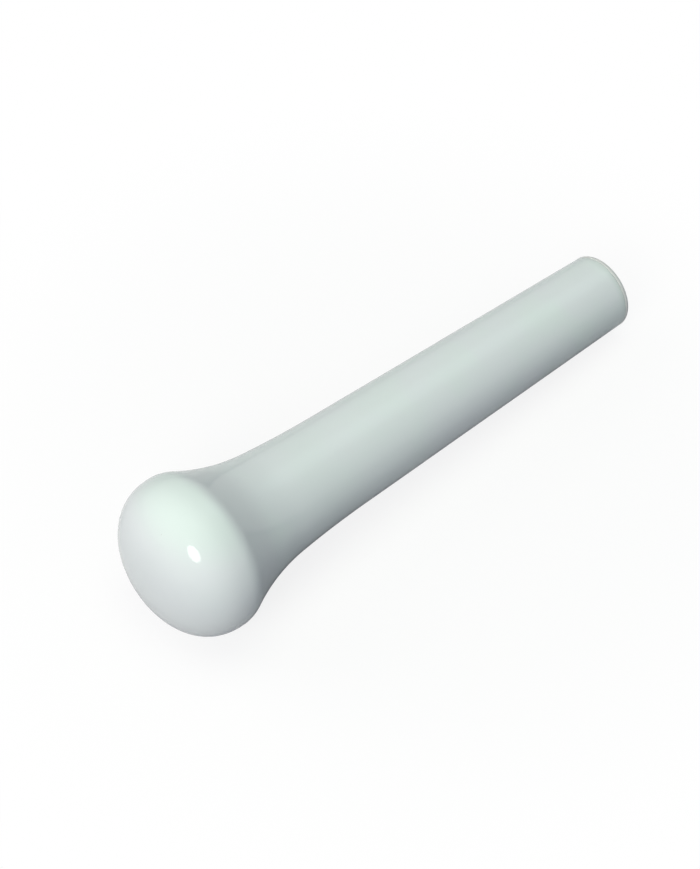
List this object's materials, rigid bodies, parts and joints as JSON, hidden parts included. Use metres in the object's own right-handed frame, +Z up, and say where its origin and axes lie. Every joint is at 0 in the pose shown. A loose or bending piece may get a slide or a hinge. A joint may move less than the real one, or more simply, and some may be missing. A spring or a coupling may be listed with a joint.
{
  "type": "porcelain pestle",
  "caption": "Glazed porcelain pestle with a domed grinding head that flares from a straight, slightly tapering round handle, lying on its side.",
  "frame": {"origin": "on the table, under the middle of the lying pestle: the centre of the bottom of its bounding box", "axes": "+X runs along the lying pestle from its head to its handle's end, +Z is up; the pestle's own axis dips 4.38 degrees below +X, because the head is wider than the handle"},
  "size_m": [0.1344, 0.036, 0.036],
  "materials": {
    "fired_porcelain": "unglazed fired porcelain, fine and matt",
    "clear_glaze": "clear glossy glaze over white porcelain, with a faint green cast"
  },
  "bodies": {
    "root": {"porcelain_body": "fired_porcelain", "glaze_coat": "clear_glaze"}
  },
  "joints": []
}
